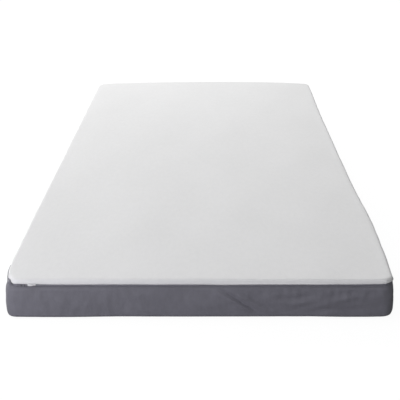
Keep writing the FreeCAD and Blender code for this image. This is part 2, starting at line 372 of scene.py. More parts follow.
def rim_rows(path, edge, offset):
    """Rows of one skin of the top, from the flat margin out over the rim and down the band."""
    rows = []
    pull = smoothed(path, band_pull(path))
    # The rim turns over more sharply along the left side.
    left = (path.xy[:, 0] < -SIDE) & (np.abs(path.xy[:, 1]) < HALF_L - 5 * MM)
    roll = smoothed(path, RIM_RADIUS * (1 - 0.5 * left))
    rim_inset = BAND_INSET + roll
    for share in (0.0, 0.25, 0.5, 0.75):
        inset = CORNER + (rim_inset - CORNER) * share
        xy = path.at(inset + pull * share, CORNER + (TOP_CORNERS - CORNER) * share)
        rows.append((xy, top_height(xy[:, 0], xy[:, 1]) - offset))
    rim_xy = path.at(rim_inset + pull, TOP_CORNERS)
    rim = top_height(rim_xy[:, 0], rim_xy[:, 1]) - roll
    radius = roll - offset
    for degrees in (90, 75, 60, 45, 30, 15, 0):
        a = math.radians(degrees)
        plan = path.at(rim_inset + pull - radius * math.cos(a), TOP_CORNERS)
        rows.append((plan, rim + radius * math.sin(a)))
    for share in (0.2, 0.4, 0.6, 0.8, 0.93):
        plan = path.at(BAND_INSET + pull + offset - band_belly(path, share), TOP_CORNERS)
        rows.append((plan, rim + (edge - rim) * share))
    return rows


def knit_top():
    """The knitted top as one closed skin 2 mm thick: crowned middle, rolled rim, band and hem."""
    path = PATH
    edge = band_edge(path)
    hem = [
        (zip_line(path, BAND_INSET + 0.15 * MM), edge + 0.5 * MM),
        (zip_line(path, BAND_INSET + 0.6 * MM), edge),
        (zip_line(path, BAND_INSET + KNIT - 0.6 * MM), edge),
        (zip_line(path, BAND_INSET + KNIT - 0.1 * MM), edge + 0.5 * MM),
    ]
    rows = rim_rows(path, edge, 0.0) + hem + rim_rows(path, edge, KNIT)[::-1]
    return sheet_object("knit_top", path, rows, (top_height, lambda x, y: top_height(x, y) - KNIT))


# ---------------- the dark border and the base


def curve_inset(radius, z):
    """Inset of the bulging border face at a height."""
    return BORDER_CURVE - math.sqrt(radius ** 2 - (z - WIDEST) ** 2)


def folds(path, z):
    """Soft creases of the border's cloth at a height, as a shift outwards."""
    x, run = path.xy[:, 0], path.run
    foot = path.xy[:, 1] < FOOT_END
    high = z / BORDER_TOP
    low = 1 - high
    # One long crease runs down to the right from the middle of the foot end, with a roll beside it.
    line = 0.040 + 0.118 * low
    along = foot * step(high, 0.12, 0.35)
    depth = along * MM * (4.2 * bump(x, line - 0.016, 0.011) - 4.6 * bump(x, line, 0.007))
    depth += along * MM * (2.6 * bump(x, line + 0.019, 0.011) - 2.0 * bump(x, line + 0.040, 0.010))
    # The cloth is pulled lengthwise to the right of it, in low flat rolls.
    rolls = ripple(x * 0.24, z, 91, 16, 0.011, 0.040)
    slack = foot * (0.12 + 1.0 * bump(x, 0.20, 0.10) + 0.8 * bump(x, 0.34, 0.07))
    depth += 0.75 * MM * rolls * slack
    # Over them it swells, fullest above the middle of its height.
    depth += 1.6 * MM * foot * bump(x, 0.24, 0.13) * bump(high, 0.60, 0.22)
    # Left of the middle it hangs in faint upright ones.
    upright = ripple(x, z * 0.3, 92, 14, 0.012, 0.045)
    depth += 0.3 * MM * upright * foot * step(-x, -0.15, 0.2)
    # Short puckers hang from the zip seam.
    small = ripple(run + 0.015 * low, 0, 61, 12, 0.018, 0.07)
    where = 0.3 + foot * (bump(x, 0.17, 0.09) + bump(x, 0.31, 0.06))
    depth += 1.0 * MM * small * bump(high, 1.0, 0.35) * where
    # Puckers fan out from the two foot corners.
    right = near_corner(path, 1, 75 * MM)
    left = near_corner(path, -1, 60 * MM)
    depth += 2.2 * MM * right * np.sin((run + 0.028 * low) / (7 * MM)) * bump(high, 0.85, 0.22)
    depth += 0.9 * MM * left * np.sin((run - 0.024 * low) / (7 * MM)) * bump(high, 0.85, 0.22)
    depth += 0.5 * MM * ripple(run, z * 2.0, 71, 14, 0.05, 0.5)
    return depth * math.sin(math.pi * min(max(high, 0.02), 0.985))


def border_rows(path):
    """Rows of the border's outer face, foot, return and inner face."""
    foot_inset = curve_inset(BORDER_CURVE, FOOT_RADIUS) + FOOT_RADIUS
    fade_start = BORDER_TOP - EDGE_TURN
    top_inset = curve_inset(BORDER_CURVE, BORDER_TOP)
    x, y = path.xy.T
    corner = np.minimum(1, 1.6 * near_corner(path, -1, 55 * MM)) * step(-x, 0.412, 0.437)

    def face(inset, z, recess):
        """The border's plan at a height; its top edge turns in to the zip."""
        wrap = wrap_line(path, inset)
        share = (EDGE_SHARE - 0.7 * corner) * float(step(z, fade_start, BORDER_TOP))
        return wrap + (zip_line(path, top_inset + recess) - wrap) * share[:, None]

    raised = step(-y, 0.845, 0.895) * step(-x, 0.417, 0.437)
    proud = step(-y, 0.915, 0.97)
    outer_edge = face(top_inset + 1.0 * MM, BORDER_TOP, 1.0 * MM)
    inner_edge = face(top_inset + 1.4 * MM, BORDER_TOP, 1.4 * MM)

    def lifted(edge, gap, share, height):
        """A row of the corner's fold, which climbs from the top edge onto the outside of the band."""
        goal = zip_line(path, BAND_INSET - gap)
        return edge + (goal - edge) * (share * raised)[:, None], BORDER_TOP + height * raised

    rows = [
        lifted(inner_edge, 0.6 * MM, 0.6, 3.2 * MM),
        lifted(inner_edge, 0.6 * MM, 1.0, CORNER_FOLD - 0.5 * MM),
        lifted(outer_edge, 2.6 * MM, 1.0 - 0.1 * proud, CORNER_FOLD),
        lifted(outer_edge, 3.8 * MM, 1.0 - 0.5 * proud, CORNER_FOLD - 0.6 * MM),
        lifted(outer_edge, 4.2 * MM, 0.9 - 1.9 * proud, 0.5 * CORNER_FOLD),
        (outer_edge, BORDER_TOP),
    ]
    near_top = BORDER_TOP - 0.15 * MM
    rows.append((face(curve_inset(BORDER_CURVE, near_top) + 0.3 * MM, near_top, 0.3 * MM), near_top))
    for z in np.linspace(BORDER_TOP - 0.6 * MM, FOOT_RADIUS, 22):
        rows.append((face(curve_inset(BORDER_CURVE, z) - folds(path, z), z, 0.0), z))
    for degrees in (15, 30, 45, 60, 75, 90):
        a = math.radians(degrees)
        inset = foot_inset - FOOT_RADIUS * math.cos(a) - folds(path, FOOT_RADIUS) * math.cos(a)
        rows.append((wrap_line(path, inset), FOOT_RADIUS * (1 - math.sin(a))))
    middle = (foot_inset + RETURN_INSET) / 2
    rows += [
        (wrap_line(path, middle), 0.0),
        (RETURN_INSET - 0.6 * MM, 0.05 * MM),
        (RETURN_INSET - 0.1 * MM, 0.6 * MM),
        (RETURN_INSET - 0.1 * MM, CLOTH - 0.4 * MM),
        (RETURN_INSET - 0.6 * MM, CLOTH),
        (wrap_line(path, middle), CLOTH),
    ]
    inner = FOOT_RADIUS - CLOTH
    for degrees in (90, 60, 30, 0):
        a = math.radians(degrees)
        inset = foot_inset - inner * math.cos(a)
        rows.append((wrap_line(path, inset), FOOT_RADIUS - inner * math.sin(a)))
    for z in np.linspace(FOOT_RADIUS, BORDER_TOP - 0.6 * MM, 14)[1:]:
        rows.append((face(curve_inset(BORDER_CURVE - CLOTH, z), z, CLOTH), z))
    return rows


def base_sheet():
    """The underside cloth: a thin closed sheet, flat below, with a rounded edge."""
    low, high = BASE_LOW[2], BASE_HIGH[2]
    path = Path(40, 90, 8)
    inset = HALF_W - BASE_HIGH[0]
    rows = [
        (inset + 16 * MM, high),
        (inset + 0.8 * MM, high),
        (inset + 0.15 * MM, high - 0.5 * MM),
        (inset + 0.15 * MM, low + 0.5 * MM),
        (inset + 0.8 * MM, low),
        (inset + 16 * MM, low),
    ]
    return sheet_object("base_sheet", path, rows, (lambda x, y: x * 0 + high, lambda x, y: x * 0 + low))


# ---------------- zip


def coil_ring(name, low, high, phase):
    """One half of the zip's coil: a bead whose turns stand proud one by one."""
    turn = 2.4 * MM
    short = int(round((2 * (HALF_W - CORNER)) / (turn / 2)))
    long = int(round((2 * (HALF_L - CORNER)) / (turn / 2)))
    path = Path(short + short % 2, long + long % 2, 50)
    count = path.count
    gap_low, gap_high = box_of("zip_stops_lower")
    middle = (low[2] + high[2]) / 2
    deep = (COIL_HIGH[0] - TAPE_HIGH[0]) / 2
    tall = (high[2] - low[2]) / 2
    centre = HALF_W - COIL_HIGH[0] + deep
    swell = np.where((np.arange(count) + phase) % 2 == 0, 1.0, 0.62)
    rows = []
    for degrees in range(0, 360, 45):
        a = math.radians(degrees + 22.5)
        plan = zip_line(path, centre + deep * math.cos(a) * swell)
        rows.append((plan, middle + tall * math.sin(a) * swell))
    x, y = path.at(centre).T
    hidden = (y < -(HALF_L - CORNER)) & (x > gap_low[0]) & (x < gap_high[0])
    faces = loops_to_faces(len(rows), count, closed_rows=True)
    kept = [f for f in faces if not any(hidden[i % count] for i in f)]
    obj = new_object(name, ring_points(path, rows), kept)
    with edited(obj) as work:
        bmesh.ops.delete(work, geom=[v for v in work.verts if not v.link_faces], context="VERTS")
        bmesh.ops.holes_fill(work, edges=[e for e in work.edges if e.is_boundary], sides=0)
        bmesh.ops.recalc_face_normals(work, faces=work.faces)
    obj.data.shade_smooth()
    return obj


def tape_ring(name, node):
    """A woven tape: a thin strip with softly rounded edges, up to the line where the coils meet."""
    low, high = box_of(node)
    outer = HALF_W - high[0]
    inner = outer + 0.8 * MM
    ease = 0.2 * MM
    path = Path(110, 252, 10)
    z0, z1 = low[2], high[2]
    if z0 < ZIP_SEAM - 5 * MM:
        z1 = ZIP_SEAM - 0.03 * MM
    else:
        z0 = ZIP_SEAM + 0.03 * MM
    heights = (z0 + ease, (z0 + z1) / 2, z1 - ease)
    rows = [(outer + ease, z0)] + [(outer, z) for z in heights] + [(outer + ease, z1)]
    rows += [(inner - ease, z1)] + [(inner, z) for z in heights[::-1]] + [(inner - ease, z0)]
    return ring_object(name, path, [(zip_line(path, inset), z) for inset, z in rows])


def pinched(outline, distance):
    """An outline drawn in towards its middle by a distance."""
    away = outline - outline.mean(0)
    return outline - away * distance / np.maximum(np.linalg.norm(away, axis=1, keepdims=True), 1e-6)


def rounded_plate(outline, y_front, y_back, bevel):
    """A plate from a plan outline in x and z, with eased edges on both faces."""
    outline = np.asarray(outline, float)
    count = len(outline)
    steps = ((y_front, bevel), (y_front + bevel, 0.0), (y_back - bevel, 0.0), (y_back, bevel))
    points = [(x, y, z) for y, pinch in steps for x, z in pinched(outline, pinch)]
    faces = loops_to_faces(len(steps), count)
    faces += [tuple(range(count - 1, -1, -1)), tuple(range(3 * count, 4 * count))]
    return points, faces


def oval(middle_x, middle_z, half_x, half_z, power=2.6, count=32):
    """Points round a rounded oblong."""
    points = []
    for a in np.arange(count) * 2 * math.pi / count:
        c, s = math.cos(a), math.sin(a)
        x = half_x * math.copysign(abs(c) ** (2 / power), c)
        z = half_z * math.copysign(abs(s) ** (2 / power), s)
        points.append((middle_x + x, middle_z + z))
    return points


def joined(name, parts):
    """One object from several closed shells."""
    points, faces = [], []
    for more, quads in parts:
        faces += [tuple(len(points) + i for i in quad) for quad in quads]
        points += list(more)
    obj = tidy(new_object(name, points, faces), 1e-7)
    mark_sharp(obj, 45)
    return obj


def slider_body():
    """The zip slider: a front and a back shield, the wedge that joins them and a post for the pull."""
    low, high = box_of("zip_slider")
    middle_x = (low[0] + high[0]) / 2
    middle_z = (low[2] + high[2]) / 2 + SLIDER_LIFT
    half_x, half_z = (high[0] - low[0]) / 2, (high[2] - low[2]) / 2 - 0.4 * MM
    front = low[1] + 2.1 * MM
    seam = (low[2] + high[2]) / 2 + 0.6 * MM
    parts = []
    for y0, y1, share, z0 in (
        (front, front + 1.3 * MM, 1.0, middle_z),
        (high[1] - 1.4 * MM, high[1], 0.9, seam),
    ):
        outline = []
        for x, z in oval(0.0, 0.0, half_x, half_z * share):
            taper = 1 - 0.16 * max(0.0, x / half_x)
            outline.append((middle_x + x, z0 + z * taper))
        parts.append(rounded_plate(outline, y0, y1, 0.45 * MM))
    wedge = [(middle_x + half_x * 0.9, seam), (middle_x + half_x * 0.35, seam + 0.9 * MM)]
    wedge += [(middle_x + half_x * 0.1, seam), (middle_x + half_x * 0.35, seam - 0.9 * MM)]
    parts.append(rounded_plate(wedge, front + 1.1 * MM, high[1] - 1.1 * MM, 0.1 * MM))
    post = oval(PULL_PIVOT, middle_z, 0.55 * MM, 0.75 * MM, 2.2, 20)
    parts.append(rounded_plate(post, low[1] + 0.7 * MM, front + 0.4 * MM, 0.25 * MM))
    return joined("zip_slider_body", parts)


def pull_tab():
    """The pull: a flat rounded tab with an eye round the slider's post."""
    low, high = box_of("zip_pull_tab")
    middle_x = (low[0] + high[0]) / 2
    middle_z = (low[2] + high[2]) / 2 + SLIDER_LIFT
    half_x, half_z = (high[0] - low[0]) / 2, (high[2] - low[2]) / 2 - 0.5 * MM
    y0, y1 = low[1] + 0.3 * MM, high[1] - 0.3 * MM
    outer = oval(middle_x + 0.2 * MM, middle_z, half_x + 0.2 * MM, half_z, 3.2, 36)
    hole = oval(PULL_PIVOT, middle_z, 0.85 * MM, 1.1 * MM, 2.4, 36)
    bevel = 0.35 * MM
    outer, hole = np.array(outer), np.array(hole)
    outer_face, hole_face = pinched(outer, bevel), pinched(hole, -bevel)
    order = [(outer_face, y0), (outer, y0 + bevel), (outer, y1 - bevel), (outer_face, y1)]
    order += [(hole_face, y1), (hole, y1 - bevel), (hole, y0 + bevel), (hole_face, y0)]
    points = [(x, y, z) for ring, y in order for x, z in ring]
    faces = loops_to_faces(len(order), 36, closed_rows=True)
    return joined("zip_pull_plate", [(points, faces)])


STITCH = 3.2 * MM
STITCH_PITCH = 4.2 * MM
THREAD = 0.45 * MM


def stitch_row(name, xy, height):
    """A row of lockstitches lying on the cloth right round the mattress."""
    path = PATH
    z = np.broadcast_to(np.asarray(height, float), (path.count,))
    line = np.column_stack([xy, z])
    closed = np.concatenate([line, line[:1]])
    gaps = np.linalg.norm(np.diff(closed, axis=0), axis=1)
    run = np.concatenate([[0], np.cumsum(gaps)])
    count = int(run[-1] // STITCH_PITCH)
    outs = np.concatenate([path.out, path.out[:1]])
    points, faces = [], []
    for k in range(count):
        spots = [k * STITCH_PITCH + STITCH * s for s in (0.0, 0.2, 0.8, 1.0)]
        base = len(points)
        for s, size in zip(spots, (0.35, 1.0, 1.0, 0.35)):
            p = np.array([np.interp(s, run, closed[:, i]) for i in range(3)])
            n = np.array([*(np.interp(s, run, outs[:, i]) for i in range(2)), 0.0])
            n = n / np.linalg.norm(n)
            for da, db in ((0, 1), (1, 0), (0, -1), (-0.6, 0)):
                points.append(p + n * THREAD * 0.7 * size * da + np.array([0, 0, THREAD * size * db]))
        faces += [tuple(base + i for i in quad) for quad in loops_to_faces(4, 4)]
        faces += [(base + 3, base + 2, base + 1, base), (base + 12, base + 13, base + 14, base + 15)]
    return new_object(name, points, faces)


# ---------------- foam

FOAM_GAP = 0.15 * MM
FOAM_STEP = 26 * MM
FOAM_ROUND = 8 * MM
CORE_INSET = 9.3 * MM


def cut_lines(low, high, slits, half_slit):
    """Coordinates across a block, closer together at its edges and slits."""
    soft = (1.2 * MM, 3.5 * MM, 8 * MM)
    lines = [low, high] + [low + d for d in soft] + [high - d for d in soft]
    for s in slits:
        for side in (-1, 1):
            lines += [s + side * (half_slit + d) for d in (0, *soft)] + [s + side * half_slit * 0.85]
    lines = sorted(set(round(v, 6) for v in lines if low - 1e-9 <= v <= high + 1e-9))
    full = [lines[0]]
    for v in lines[1:]:
        gap = v - full[-1]
        if gap > FOAM_STEP * 1.5:
            extra = int(round(gap / FOAM_STEP))
            full += [full[-1] + gap * k / extra for k in range(1, extra)]
        full.append(v)
    return np.array(full)


def edge_drop(values, low, high, slits, half_slit):
    """How far the surface falls towards edges and slits, from 0 in the open to 1 at an edge."""
    gap = np.minimum(values - low, high - values)
    for s in slits:
        gap = np.minimum(gap, np.abs(np.abs(values - s) - half_slit))
    t = np.clip(1 - gap / FOAM_ROUND, 0, 1)
    return 1 - np.sqrt(np.clip(1 - t * t, 0, 1))


def round_plan(x, y, follow_top):
    """Presses the square corners onto the core's rounded ones, and tucks in the foot's corners."""
    side_x, side_y = np.sign(x), np.sign(y)
    index = np.where(side_y > 0, np.where(side_x > 0, 0, 1), np.where(side_x > 0, 3, 2))
    inner = HALF_W - CORE_INSET
    radius = (TOP_CORNERS + 7 * MM)[index] - CORE_INSET if follow_top else CORNER - CORE_INSET
    dx, dy = np.abs(x) - (inner - radius), np.abs(y) - (HALF_L - CORE_INSET - radius)
    far = (dx > 0) & (dy > 0)
    length = np.maximum(np.hypot(dx, dy), 1e-9)
    scale = np.where(far, np.maximum(dx, dy) / length, 1.0)
    nx = np.where(far, side_x * (inner - radius + dx * scale), x)
    ny = np.where(far, side_y * (HALF_L - CORE_INSET - radius + dy * scale), y)
    if follow_top:
        tuck = np.exp(-(((np.abs(x) - inner) / 0.05) ** 2) - (((y + 0.95) / 0.10) ** 2))
        nx = nx - side_x * 5.5 * MM * tuck
        cut = np.exp(-((((x + HALF_W) / 0.045) ** 2) + ((y + HALF_L) / 0.05) ** 2))
        nx, ny = nx + 9 * MM * cut, ny + 6 * MM * cut
    return nx.ravel(), ny.ravel()


def foam_block(name, node, grain, follow_top, x_slits=(), y_slits=(), half_slit=2 * MM, depth=20 * MM):
    """A foam block: rounded edges, slits or channels in its top, and a slightly uneven skin."""
    low, high = box_of(node)
    low = low + FOAM_GAP
    high = high - FOAM_GAP
    xs = cut_lines(low[0], high[0], x_slits, half_slit)
    ys = cut_lines(low[1], high[1], y_slits, half_slit)
    gx, gy = np.meshgrid(xs, ys)
    if follow_top:
        top = np.minimum(high[2], top_height(gx, gy) - KNIT - 0.9 * MM)
    else:
        top = np.full(gx.shape, high[2])
    in_slit = np.zeros(gx.shape, bool)
    for plan, slits in ((gx, x_slits), (gy, y_slits)):
        for s in slits:
            in_slit |= np.abs(plan - s) < half_slit * 0.9
    fall_x = edge_drop(gx, low[0], high[0], x_slits, half_slit)
    fall_y = edge_drop(gy, low[1], high[1], y_slits, half_slit)
    fall = 3.2 * MM * np.clip(fall_x + fall_y, 0, 1.3)
    uneven = 0.25 * MM * ripple(gx, gy, grain, 10, 0.02, 0.12)
    surface = np.where(in_slit, high[2] - depth, top - fall + uneven * (fall < 0.1 * MM))
    rx, ry = round_plan(gx, gy, follow_top)
    rows, cols = gx.shape
    size = rows * cols
    top_points = np.column_stack([rx, ry, surface.ravel()])
    floor_points = np.column_stack([rx, ry, np.full(size, low[2])])
    faces = grid_faces(rows, cols) + [quad[::-1] for quad in grid_faces(rows, cols, size)]
    rim = list(range(cols)) + [j * cols + cols - 1 for j in range(1, rows)]
    rim += [(rows - 1) * cols + i for i in range(cols - 2, -1, -1)]
    rim += [j * cols for j in range(rows - 2, 0, -1)]
    faces += [(b, a, size + a, size + b) for a, b in zip(rim, rim[1:] + rim[:1])]
    obj = tidy(new_object(name, np.concatenate([top_points, floor_points]), faces), 1e-7)
    mark_sharp(obj, 50)
    return obj


def spread(count, pitch, middle=0.0):
    """Evenly spaced places round a middle."""
    return [middle + (k - (count - 1) / 2) * pitch for k in range(count)]


def padding_ring():
    """Fleece behind the border: a soft strip that thickens and thins a little."""
    low, high = box_of("border_padding")
    path = Path(110, 252, 10)
    inner = path.at(9.1 * MM, np.minimum(WRAP_CORNERS + 4 * MM, CORNER))
    soft = 0.2 * MM * np.abs(ripple(path.run, 0, 81, 12, 0.03, 0.2))
    rows = []
    for z in np.linspace(low[2] + 0.3 * MM, high[2] - 0.3 * MM, 8):
        curve = curve_inset(BORDER_CURVE - CLOTH - 0.5 * MM, z)
        rows.append((wrap_line(path, curve + soft), z))
    rows.append((wrap_line(path, curve + 0.8 * MM), high[2]))
    rows += [(inner, z) for z in (high[2], (high[2] + low[2]) / 2, low[2])]
    rows.append((wrap_line(path, curve + 0.8 * MM), low[2]))
    return ring_object("fleece_padding", path, rows)


# ---------------- materials

KNIT_COLOUR = (0.762, 0.762, 0.762)
BORDER_COLOUR = (0.161, 0.159, 0.184)
BASE_COLOUR = (0.060, 0.061, 0.072)


def tint(colour, share):
    """A colour made lighter or darker by a share."""
    return tuple(min(1.0, c * share) for c in colour)


class Nodes:
    """The cleared node tree of a material or a world, with short ways to add nodes to it."""

    def __init__(self, owner, output):
        owner.use_nodes = True
        self.tree = owner.node_tree
        self.tree.nodes.clear()
        self.out = self.add(output, {})

    def add(self, kind, inputs, **settings):
        """A node with its settings and its inputs."""
        node = self.tree.nodes.new("ShaderNode" + kind)
        for key, value in settings.items():
            setattr(node, key, value)
        self.feed(node, inputs)
        return node

    def feed(self, node, inputs):
        """Gives a node's inputs their values, or links them to other nodes' outputs."""
        for key, value in inputs.items():
            if isinstance(value, bpy.types.NodeSocket):
                self.tree.links.new(value, node.inputs[key])
            else:
                node.inputs[key].default_value = value

    def maths(self, kind, a, b):
        """A maths node over sockets or numbers."""
        return self.add("Math", {0: a, 1: b}, operation=kind).outputs[0]

    def total(self, *parts):
        """The sum of two parts; a part may be a pair of a socket and its share."""
        values = [self.maths("MULTIPLY", *part) if isinstance(part, tuple) else part for part in parts]
        return self.maths("ADD", *values)

    def ramp(self, value, stops):
        """A colour ramp over a value."""
        node = self.add("ValToRGB", {"Fac": value})
        elements = node.color_ramp.elements
        for element, (position, colour) in zip(elements, (stops[0], stops[-1])):
            element.position, element.color = position, (*colour, 1)
        for position, colour in stops[1:-1]:
            elements.new(position).color = (*colour, 1)
        return node.outputs["Color"]


class Shade(Nodes):
    """A material with one Principled shader."""

    def __init__(self, name):
        self.mat = bpy.data.materials.new(name)
        super().__init__(self.mat, "OutputMaterial")

    def space(self, scale=(1, 1, 1)):
        """Object coordinates, stretched."""
        coord = self.add("TexCoord", {})
        inputs = {"Scale": scale, "Vector": coord.outputs["Object"]}
        return self.add("Mapping", inputs).outputs["Vector"]

    def noise(self, where, scale, detail, rough=0.5):
        """A noise texture."""
        inputs = {"Scale": scale, "Detail": detail, "Roughness": rough, "Vector": where}
        return self.add("TexNoise", inputs).outputs["Fac"]

    def cells(self, where, size, randomness):
        """Distance from the middles of cells of a size in metres."""
        inputs = {"Scale": 1 / size, "Randomness": randomness, "Vector": where}
        return self.add("TexVoronoi", inputs, feature="F1").outputs["Distance"]

    def threads(self, where, axis, period, softness):
        """Parallel threads along an axis at a period in metres."""
        # One band of the wave texture is 2*pi/20 of its coordinate.
        inputs = {"Scale": math.pi / 10 / period, "Distortion": softness, "Detail": 1.0}
        inputs |= {"Detail Scale": 1.0, "Vector": where}
        settings = {"wave_type": "BANDS", "bands_direction": axis, "wave_profile": "SIN"}
        return self.add("TexWave", inputs, **settings).outputs["Fac"]

    def finished(self, colour, height, distance, strength, rough, **values):
        """The material, with its colour, its height as a bump, its roughness and other values."""
        inputs = {"Distance": distance, "Strength": strength, "Height": height}
        normal = self.add("Bump", inputs).outputs["Normal"]
        shader = self.add("BsdfPrincipled", {"Base Color": colour, "Normal": normal, "Roughness": rough})
        self.feed(shader, {key.replace("_", " "): value for key, value in values.items()})
        self.feed(self.out, {"Surface": shader.outputs["BSDF"]})
        return self.mat


def knit_material():
    """Pale grey stretch knit: fine rows of loops, a soft mottle and a dull sheen."""
    shade = Shade("knit_pale_grey")
    where = shade.space()
    rows = shade.threads(where, "X", 1.7 * MM, 0.6)
    courses = shade.threads(where, "Y", 2.1 * MM, 0.6)
    along = shade.space((1, 0.42, 1))
    mottle = shade.noise(along, 105.0, 3.0, 0.6)
    mixed = shade.total((mottle, 0.6), (shade.noise(along, 6.0, 2.0), 0.4))
    colour = shade.ramp(mixed, [(0.25, tint(KNIT_COLOUR, 0.965)), (0.75, tint(KNIT_COLOUR, 1.03))])
    grain = shade.total((shade.maths("MULTIPLY", rows, courses), 0.7), (mottle, 0.5))
    rough = shade.total((mottle, 0.12), 0.82)
    values = {"Specular_IOR_Level": 0.2, "Sheen_Weight": 0.25, "Sheen_Roughness": 0.5}
    return shade.finished(colour, grain, 0.25 * MM, 0.5, rough, **values)


def border_material():
    """Dark blue-grey coated cloth: a fine plain weave under a satin coat."""
    shade = Shade("border_blue_grey")
    where = shade.space()
    upright = shade.threads(where, "Z", 1.1 * MM, 0.8)
    across = shade.threads(where, "DIAGONAL", 1.5 * MM, 0.8)
    weave = shade.maths("MULTIPLY", upright, across)
    mottle = shade.noise(shade.space((1, 1, 0.45)), 95.0, 4.0, 0.65)
    mixed = shade.total((mottle, 0.5), (shade.noise(where, 11.0, 3.0), 0.5))
    dark, light = tint(BORDER_COLOUR, 0.87), tint(BORDER_COLOUR, 1.13)
    colour = shade.ramp(mixed, [(0.30, dark), (0.5, BORDER_COLOUR), (0.70, light)])
    height = shade.total((weave, 0.4), mottle)
    rough = shade.total((mottle, 0.18), 0.5)
    values = {"Specular_IOR_Level": 0.3, "Sheen_Weight": 0.15}
    return shade.finished(colour, height, 0.6 * MM, 0.7, rough, **values)


def simple_cloth(name, colour, period, rough, axes=("X", "Z")):
    """A woven cloth: crossed threads over a base colour."""
    shade = Shade(name)
    where = shade.space()
    one, two = (shade.threads(where, axis, period, 0.5) for axis in axes)
    weave = shade.maths("MULTIPLY", one, two)
    mottle = shade.noise(where, 60.0, 3.0)
    mixed = shade.total((weave, 0.3), (mottle, 0.7))
    tints = shade.ramp(mixed, [(0.2, tint(colour, 0.92)), (0.8, tint(colour, 1.08))])
    height, rough = shade.total(weave, mottle), shade.total((mottle, 0.15), rough)
    return shade.finished(tints, height, 0.2 * MM, 0.6, rough, Sheen_Weight=0.1)


def base_material():
    """Underside cloth: a dark mottle with rows of small raised grip dots."""
    shade = Shade("base_grip_cloth")
    where = shade.space()
    spot = shade.maths("LESS_THAN", shade.cells(where, 9 * MM, 0.0), 0.24)
    mottle = shade.noise(where, 40.0, 3.0)
    base = shade.ramp(mottle, [(0.25, tint(BASE_COLOUR, 0.85)), (0.75, tint(BASE_COLOUR, 1.2))])
    inputs = {"Factor": spot, "A": base, "B": (*tint(BASE_COLOUR, 2.0), 1)}
    colour = shade.add("Mix", inputs, data_type="RGBA").outputs["Result"]
    height = shade.total(spot, (mottle, 0.4))
    return shade.finished(colour, height, 0.3 * MM, 0.6, shade.total((mottle, 0.2), 0.6))


def foam_material(name, colour, cell=1.4 * MM, depth=0.5):
    """Open-cell foam: pores of a given size, with a soft blotch of colour."""
    shade = Shade(name)
    where = shade.space()
    fine = shade.noise(where, 1 / (0.9 * MM), 2.0)
    blotch = shade.noise(where, 14.0, 3.0)
    pit = shade.maths("MULTIPLY", shade.cells(where, cell, 1.0), 0.9)
    mixed = shade.total((pit, 0.45), (blotch, 0.6))
    tints = shade.ramp(mixed, [(0.25, tint(colour, 0.82)), (0.6, colour), (0.85, tint(colour, 1.06))])
    height, rough = shade.total(pit, fine), shade.total((blotch, 0.1), 0.86)
    return shade.finished(tints, height, 0.6 * MM, depth, rough, Specular_IOR_Level=0.15)


def fleece_material():
    """White needled fleece: matted fibres."""
    shade = Shade("fleece_white")
    where = shade.space((1, 1, 2.5))
    tufts = shade.noise(where, 120.0, 3.0)
    mixed = shade.total((shade.noise(where, 900.0, 4.0, 0.7), 0.5), (tufts, 0.5))
    colour = shade.ramp(mixed, [(0.3, (0.66, 0.66, 0.63)), (0.7, (0.84, 0.84, 0.82))])
    rough = shade.total((tufts, 0.1), 0.88)
    return shade.finished(colour, mixed, 0.8 * MM, 0.7, rough, Sheen_Weight=0.3)


def hard_material(name, colour, rough, coat=0.0):
    """A hard part: faint casting or moulding grain and worn tints."""
    shade = Shade(name)
    where = shade.space()
    fine = shade.noise(where, 400.0, 3.0)
    wide = shade.noise(where, 400.0 / 6, 2.0)
    tints = shade.ramp(wide, [(0.3, tint(colour, 0.92)), (0.7, tint(colour, 1.05))])
    rough = shade.total((fine, 0.15), rough)
    return shade.finished(tints, fine, 0.04 * MM, 0.4, rough, Coat_Weight=coat)


def paint(obj, mat):
    """Gives an object one material."""
    obj.data.materials.clear()
    obj.data.materials.append(mat)


# ---------------- build the pieces

top = knit_top()
paint(top, knit_material())
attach(top, "cover_top")
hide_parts("top_panel")

wrap = ring_object("border_wrap", PATH, border_rows(PATH))
paint(wrap, border_material())
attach(wrap, "cover_base")
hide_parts("side_border")

base = base_sheet()
paint(base, base_material())
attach(base, "cover_base")
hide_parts("base_panel")

fleece = padding_ring()
paint(fleece, fleece_material())
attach(fleece, "cover_base")
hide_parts("border_padding")

tape_cloth = simple_cloth("zip_tape_weave", tint(BORDER_COLOUR, 1.25), 0.9 * MM, 0.7, ("Z", "DIAGONAL"))
coil_nylon = hard_material("zip_coil_nylon", tint(BORDER_COLOUR, 1.45), 0.5)
for part, body in (("lower", "cover_base"), ("upper", "cover_top")):
    tape = tape_ring("zip_tape_" + part + "_woven", "zip_tape_" + part)
    paint(tape, tape_cloth)
    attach(tape, body)
    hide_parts("zip_tape_" + part)
    low, high = box_of("zip_coil_" + part)
    if part == "lower":
        high[2] = ZIP_SEAM - 0.02 * MM
    else:
        low[2] = ZIP_SEAM + 0.02 * MM
    coil = coil_ring("zip_coil_" + part + "_turns", low, high, 0 if part == "lower" else 1)
    paint(coil, coil_nylon)
    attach(coil, body)
    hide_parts("zip_coil_" + part)

enamel = hard_material("zip_white_enamel", (0.72, 0.72, 0.725), 0.38, coat=0.2)
slider = slider_body()
pull = pull_tab()
for obj, node, body in ((slider, "zip_slider", "zip_slider"), (pull, "zip_pull_tab", "zip_pull")):
    paint(obj, enamel)
    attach(obj, body)
    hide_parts(node)
crimp = hard_material("zip_stop_enamel", (0.10, 0.10, 0.11), 0.4)
for node in ("zip_stops_lower", "zip_stops_upper"):
    paint(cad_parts[node], crimp)

